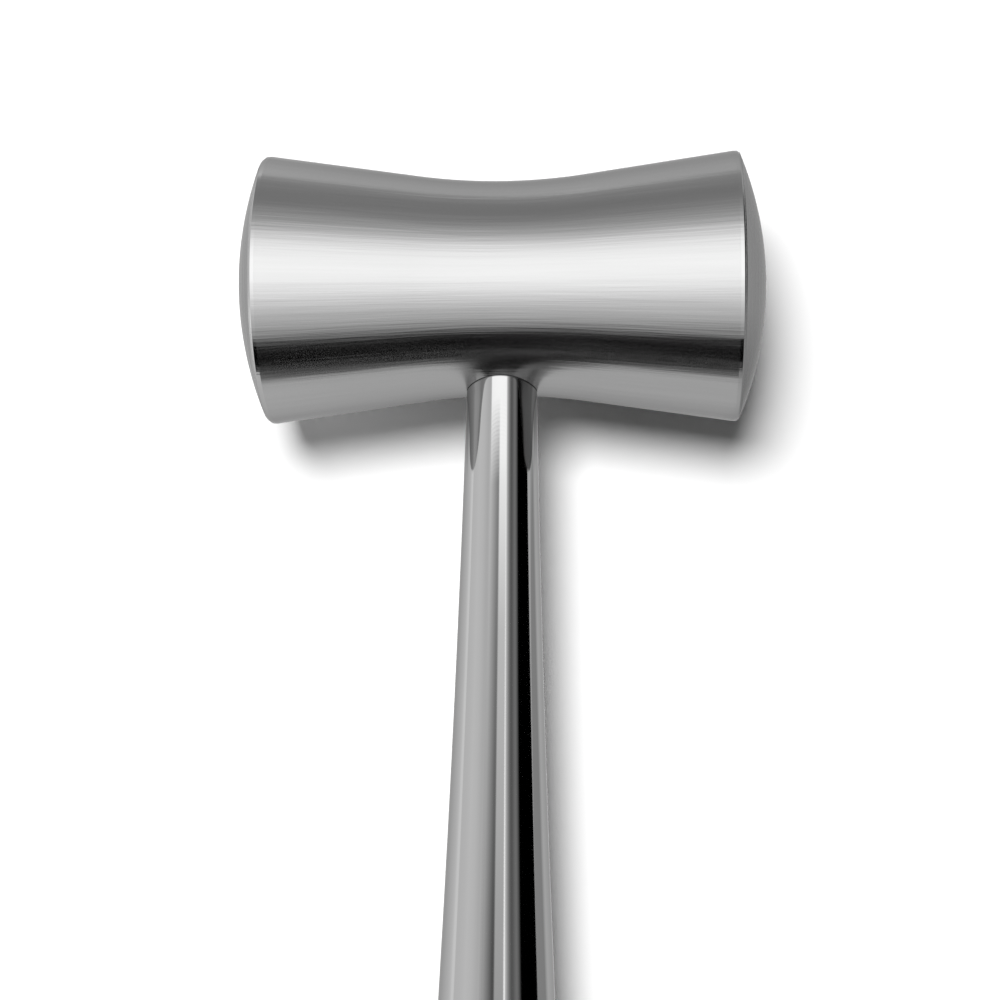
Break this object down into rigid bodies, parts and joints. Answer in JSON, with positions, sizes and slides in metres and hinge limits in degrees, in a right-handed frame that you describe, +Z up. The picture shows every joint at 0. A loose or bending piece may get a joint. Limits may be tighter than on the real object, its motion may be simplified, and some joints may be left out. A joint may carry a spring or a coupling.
{
  "type": "surgical mallet",
  "caption": "All-steel surgical mallet: hourglass head with domed striking faces on a slim handle that flares towards its rounded butt.",
  "frame": {"origin": "on the surface that the mallet lies on, under the middle of its bounding box", "axes": "+X along the head from one striking face to the other, +Y along the mallet from butt to head, +Z up from the surface it lies on"},
  "size_m": [0.0586, 0.1868, 0.03],
  "materials": {
    "satin_steel": "satin, fine lines along the head",
    "polished_steel": "mirror polished stainless steel"
  },
  "bodies": {
    "root": {"head": "satin_steel", "handle": "polished_steel"}
  },
  "joints": []
}
